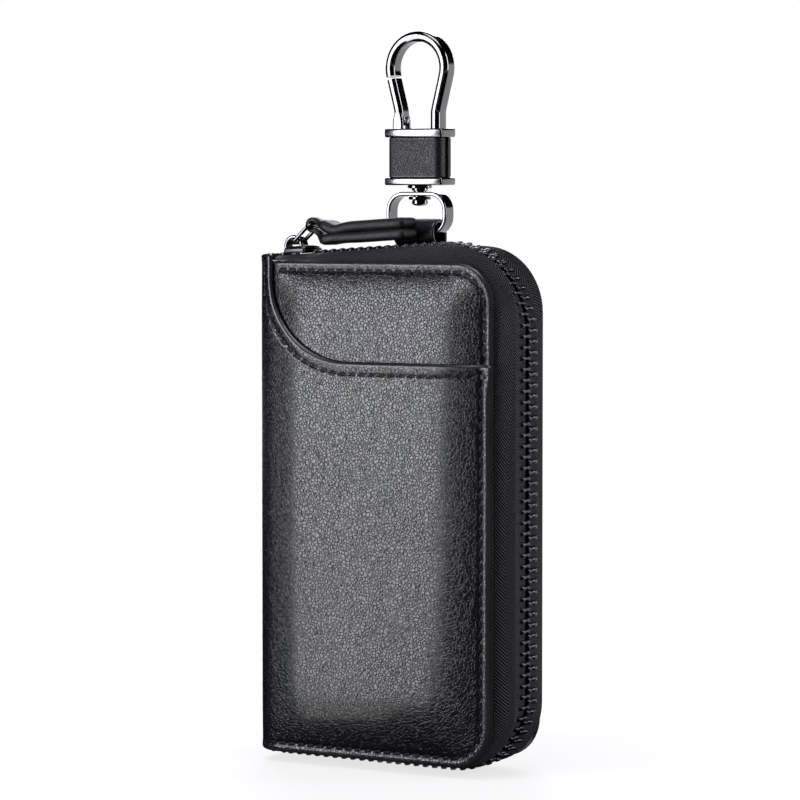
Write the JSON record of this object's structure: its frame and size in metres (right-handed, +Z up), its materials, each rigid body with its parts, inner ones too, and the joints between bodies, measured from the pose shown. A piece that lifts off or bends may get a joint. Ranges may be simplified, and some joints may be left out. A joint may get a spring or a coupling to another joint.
{
  "type": "zipped key case with snap hook",
  "caption": "Book-style leather key case zipped round three sides, with a curved slip pocket, inner key hooks and a swivel snap hook on a leather loop.",
  "frame": {"origin": "centre of the snap hook's eye, on the eye's axis and half-way through the hook's depth", "axes": "+Z up along the hook's shank, +X to the right seen from the front, front towards -Y"},
  "size_m": [0.0721, 0.0284, 0.1778],
  "materials": {
    "black_leather": "grained, semi-gloss",
    "gunmetal": "polished black nickel",
    "spring_steel": "bright",
    "rail_metal": "satin nickel",
    "zip_metal": "black nickel, satin",
    "zip_tape": "twill weave",
    "lining": "matt",
    "foam": "matt"
  },
  "bodies": {
    "hook": {"hook_frame": "gunmetal", "leather_sleeve": "black_leather", "lower_bar": "gunmetal", "gate_pin": "gunmetal", "gate_spring": "spring_steel", "swivel_rivet": "gunmetal", "swivel_washer": "gunmetal"},
    "gate": {"gate": "gunmetal"},
    "ring": {"swivel_ring": "gunmetal"},
    "back_half": {"back_cover": "black_leather", "back_padding": "foam", "back_lining": "lining", "back_zip_tape": "zip_tape", "back_zip_teeth": "zip_metal", "back_zip_teeth_top": "zip_metal", "back_zip_stops": "zip_metal", "strap_loop": "black_leather", "rail_backing": "black_leather", "key_rail": "rail_metal", "rail_rod": "spring_steel", "rail_rivets": "rail_metal"},
    "spine": {"spine_leather": "black_leather", "spine_lining": "lining"},
    "front_half": {"front_cover": "black_leather", "front_pocket": "black_leather", "front_padding": "foam", "front_lining": "lining", "inner_pocket": "lining", "front_zip_tape": "zip_tape", "front_zip_teeth": "zip_metal", "front_zip_teeth_top": "zip_metal", "front_zip_stops": "zip_metal"},
    "slider": {"slider_body": "gunmetal", "slider_bail": "gunmetal"},
    "link": {"pull_link": "gunmetal"},
    "pull": {"pull_strap": "black_leather"},
    "key_1": {"key_hook_1": "spring_steel"},
    "key_2": {"key_hook_2": "spring_steel"},
    "key_3": {"key_hook_3": "spring_steel"},
    "key_4": {"key_hook_4": "spring_steel"},
    "key_5": {"key_hook_5": "spring_steel"},
    "key_6": {"key_hook_6": "spring_steel"}
  },
  "joints": [
    {"name": "gate_hinge", "type": "hinge", "parent": "hook", "child": "gate", "pos_m": [-0.0052, 0, -0.0125], "axis": [0, 1, 0], "range_deg": [0, 25], "stiffness_Nm_per_rad": 0.02, "springref_deg": -14.32},
    {"name": "swivel", "type": "hinge", "parent": "hook", "child": "ring", "pos_m": [0, 0, -0.03], "axis": [0, 0, 1], "continuous": true},
    {"name": "ring_swing", "type": "hinge", "parent": "ring", "child": "back_half", "pos_m": [0, 0, -0.04], "axis": [1, 0, 0], "range_deg": [-15, 80]},
    {"name": "spine_hinge", "type": "hinge", "parent": "back_half", "child": "spine", "pos_m": [-0.0365, -0.0032, -0.1067], "axis": [0, 0, -1], "range_deg": [0, 90]},
    {"name": "cover_hinge", "type": "hinge", "parent": "spine", "child": "front_half", "pos_m": [-0.0365, -0.0122, -0.1067], "axis": [0, 0, -1], "range_deg": [0, 90]},
    {"name": "zip_slide", "type": "slide", "parent": "back_half", "child": "slider", "axis": [0.9979, 0, 0.0643], "range_m": [0, 0.036], "deforming": ["front_zip_teeth_top", "back_zip_teeth_top"]},
    {"name": "link_hinge", "type": "hinge", "parent": "slider", "child": "link", "pos_m": [-0.03061, -0.0077, -0.04249], "axis": [0, -1, 0], "range_deg": [0, 45]},
    {"name": "pull_hinge", "type": "hinge", "parent": "link", "child": "pull", "pos_m": [-0.02568, -0.0077, -0.0381], "axis": [0, -1, 0], "range_deg": [0, 70]},
    {"name": "key_hinge_1", "type": "hinge", "parent": "back_half", "child": "key_1", "pos_m": [-0.01767, -0.0035, -0.0637], "axis": [-1, 0, 0], "range_deg": [0, 28]},
    {"name": "key_hinge_2", "type": "hinge", "parent": "back_half", "child": "key_2", "pos_m": [-0.0104, -0.0035, -0.0637], "axis": [-1, 0, 0], "range_deg": [0, 28]},
    {"name": "key_hinge_3", "type": "hinge", "parent": "back_half", "child": "key_3", "pos_m": [-0.00313, -0.0035, -0.0637], "axis": [-1, 0, 0], "range_deg": [0, 28]},
    {"name": "key_hinge_4", "type": "hinge", "parent": "back_half", "child": "key_4", "pos_m": [0.00413, -0.0035, -0.0637], "axis": [-1, 0, 0], "range_deg": [0, 28]},
    {"name": "key_hinge_5", "type": "hinge", "parent": "back_half", "child": "key_5", "pos_m": [0.0114, -0.0035, -0.0637], "axis": [-1, 0, 0], "range_deg": [0, 28]},
    {"name": "key_hinge_6", "type": "hinge", "parent": "back_half", "child": "key_6", "pos_m": [0.01867, -0.0035, -0.0637], "axis": [-1, 0, 0], "range_deg": [0, 28]}
  ],
  "couplings": [
    {"joint": "cover_hinge", "follows": "spine_hinge", "ratio": 1}
  ]
}
